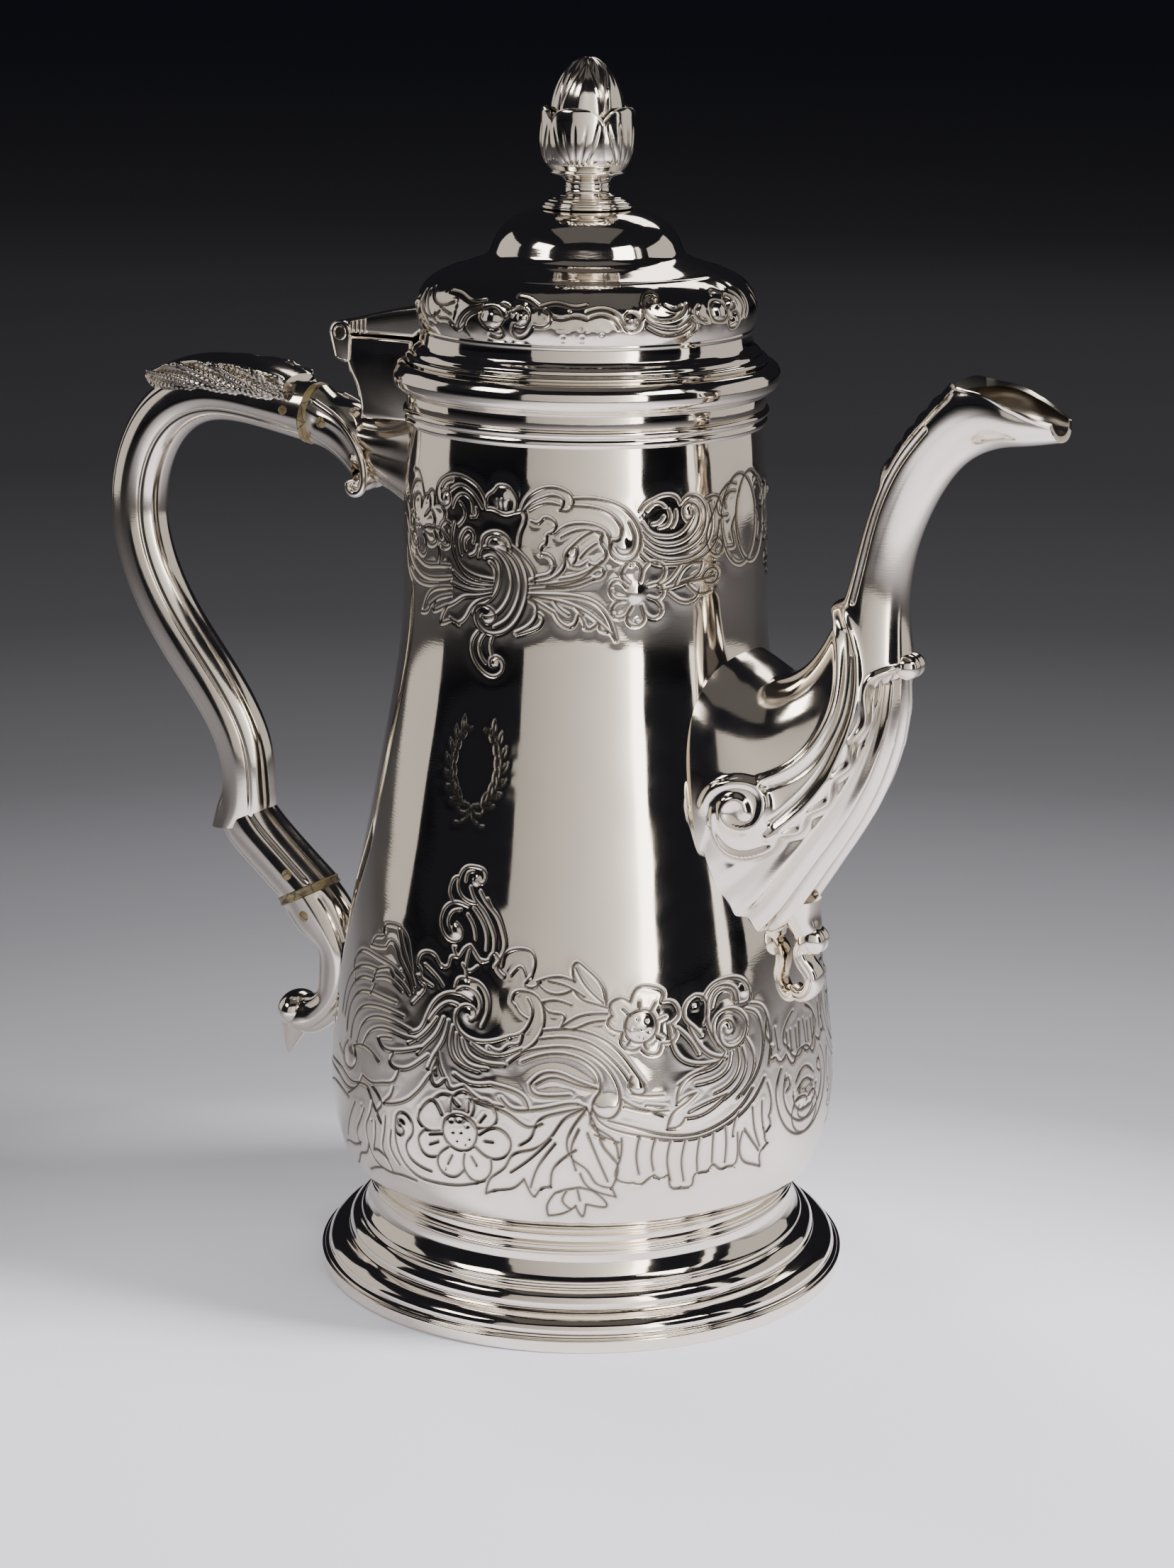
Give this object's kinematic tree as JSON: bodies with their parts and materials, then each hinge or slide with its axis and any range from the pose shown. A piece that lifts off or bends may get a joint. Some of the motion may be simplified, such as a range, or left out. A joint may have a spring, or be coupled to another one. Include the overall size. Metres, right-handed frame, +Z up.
{
  "type": "coffee pot",
  "caption": "Tall tapered silver coffee pot with swan-neck spout, scroll handle with heat breaks, hinged domed lid with bud finial and stepped round foot.",
  "frame": {"origin": "centre of the circle that the foot rim stands on, on the pot's axis", "axes": "+Z up along the body's axis, +X towards the spout, -X towards the handle, Y across the pot and along the lid hinge"},
  "size_m": [0.2355, 0.1176, 0.265],
  "materials": {
    "polished_silver": "polished silver with fine wear",
    "chased_silver": "polished silver, chased with flowers and scrolls, tarnish in the lines",
    "cast_silver": "cast and polished silver, slightly softer",
    "ivory": "aged ivory, brown in its cracks"
  },
  "bodies": {
    "pot": {"foot_rim": "polished_silver", "foot": "polished_silver", "foot_neck_ring": "polished_silver", "base_disc": "polished_silver", "body": "chased_silver", "neck_reeding": "polished_silver", "rim_band": "polished_silver", "rim_moulding": "polished_silver", "hinge_pin": "cast_silver", "hinge_bracket": "polished_silver", "spout_right_half": "cast_silver", "spout_left_half": "cast_silver", "spout_drop": "cast_silver", "handle_scroll": "cast_silver", "handle_tail": "cast_silver", "handle_leaf": "cast_silver", "upper_socket": "cast_silver", "lower_socket": "cast_silver", "upper_insulator": "ivory", "lower_insulator": "ivory", "upper_handle_pin": "ivory", "upper_socket_pin": "ivory", "lower_handle_pin": "ivory", "lower_socket_pin": "ivory"},
    "lid": {"lid": "chased_silver", "lid_bezel": "polished_silver", "finial_base": "polished_silver", "finial": "cast_silver", "finial_stud": "cast_silver", "finial_nut": "cast_silver", "hinge_leaf": "polished_silver"}
  },
  "joints": [
    {"name": "lid_hinge", "type": "hinge", "parent": "pot", "child": "lid", "pos_m": [-0.0577, 0, 0.2044], "axis": [0, -1, 0], "range_deg": [0, 100]}
  ]
}
